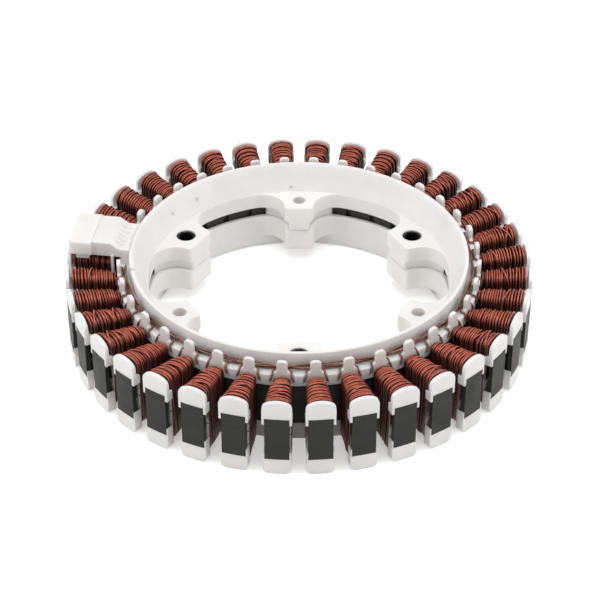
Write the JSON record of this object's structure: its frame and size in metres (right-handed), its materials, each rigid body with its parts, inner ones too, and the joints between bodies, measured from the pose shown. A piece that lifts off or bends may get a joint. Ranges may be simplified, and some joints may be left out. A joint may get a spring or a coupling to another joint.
{
  "type": "motor stator",
  "caption": "Wound outer-rotor motor stator: toothed steel core between white moulded insulators, copper coils on every tooth, inward mounting lugs and a sensor plug housing.",
  "frame": {"origin": "on the motor axis, in the plane that the lower tooth ends rest on", "axes": "+Z along the motor axis, towards the wire posts and the sensor housing; the first tooth is half a tooth pitch from +X towards +Y, and a bushed lug lies towards -Y"},
  "size_m": [0.265, 0.265, 0.0566],
  "materials": {
    "core_steel": "punched electrical steel, stacked sheet edges",
    "white_moulding": "glass-filled white moulding, satin",
    "bush_steel": "dark plated steel sleeve",
    "copper_winding": "enamelled copper wire",
    "board_laminate": "glass-epoxy laminate",
    "sensor_black": "moulded package",
    "pin_metal": "tinned brass"
  },
  "bodies": {
    "root": {"lamination_core": "core_steel", "upper_insulator": "white_moulding", "lower_insulator": "white_moulding", "sensor_housing": "white_moulding", "mounting_bush_1": "bush_steel", "mounting_bush_2": "bush_steel", "mounting_bush_3": "bush_steel", "coil_01": "copper_winding", "coil_02": "copper_winding", "coil_03": "copper_winding", "coil_04": "copper_winding", "coil_05": "copper_winding", "coil_06": "copper_winding", "coil_07": "copper_winding", "coil_08": "copper_winding", "coil_09": "copper_winding", "coil_10": "copper_winding", "coil_11": "copper_winding", "coil_12": "copper_winding", "coil_13": "copper_winding", "coil_14": "copper_winding", "coil_15": "copper_winding", "coil_16": "copper_winding", "coil_17": "copper_winding", "coil_18": "copper_winding", "coil_19": "copper_winding", "coil_20": "copper_winding", "coil_21": "copper_winding", "coil_22": "copper_winding", "coil_23": "copper_winding", "coil_24": "copper_winding", "coil_25": "copper_winding", "coil_26": "copper_winding", "coil_27": "copper_winding", "coil_28": "copper_winding", "coil_29": "copper_winding", "coil_30": "copper_winding", "coil_31": "copper_winding", "coil_32": "copper_winding", "coil_33": "copper_winding", "coil_34": "copper_winding", "coil_35": "copper_winding", "coil_36": "copper_winding", "crossover_wire_u": "copper_winding", "crossover_wire_v": "copper_winding", "crossover_wire_w": "copper_winding", "sensor_board": "board_laminate", "board_sensors": "sensor_black", "connector_pins": "pin_metal"}
  },
  "joints": []
}
